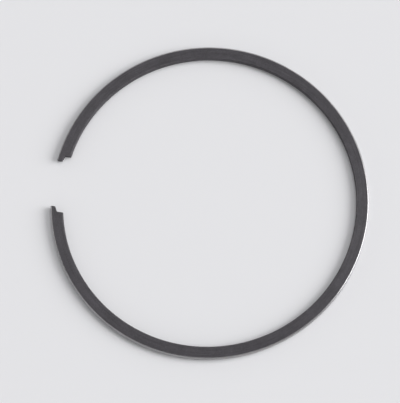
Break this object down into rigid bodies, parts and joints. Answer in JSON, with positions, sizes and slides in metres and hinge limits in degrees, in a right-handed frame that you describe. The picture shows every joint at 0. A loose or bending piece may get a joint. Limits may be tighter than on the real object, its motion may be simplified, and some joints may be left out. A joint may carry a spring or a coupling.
{
  "type": "piston ring",
  "caption": "Piston ring sprung open at its gap, with a barrel-shaped running face and notched ends that clear a locating pin.",
  "frame": {"origin": "middle of the sprung-open ring's outline, on the plane of its lower side face", "axes": "+Z along the ring axis, up from the lower side face; +X from the gap towards the ring's back; +Y across the ring"},
  "size_m": [0.056, 0.0568, 0.0012],
  "materials": {
    "phosphated_iron": "dark grey matt phosphate on the sides and the inside, with a bright hard-chromed running face"
  },
  "bodies": {
    "root": {"piston_ring": "phosphated_iron"}
  },
  "joints": []
}
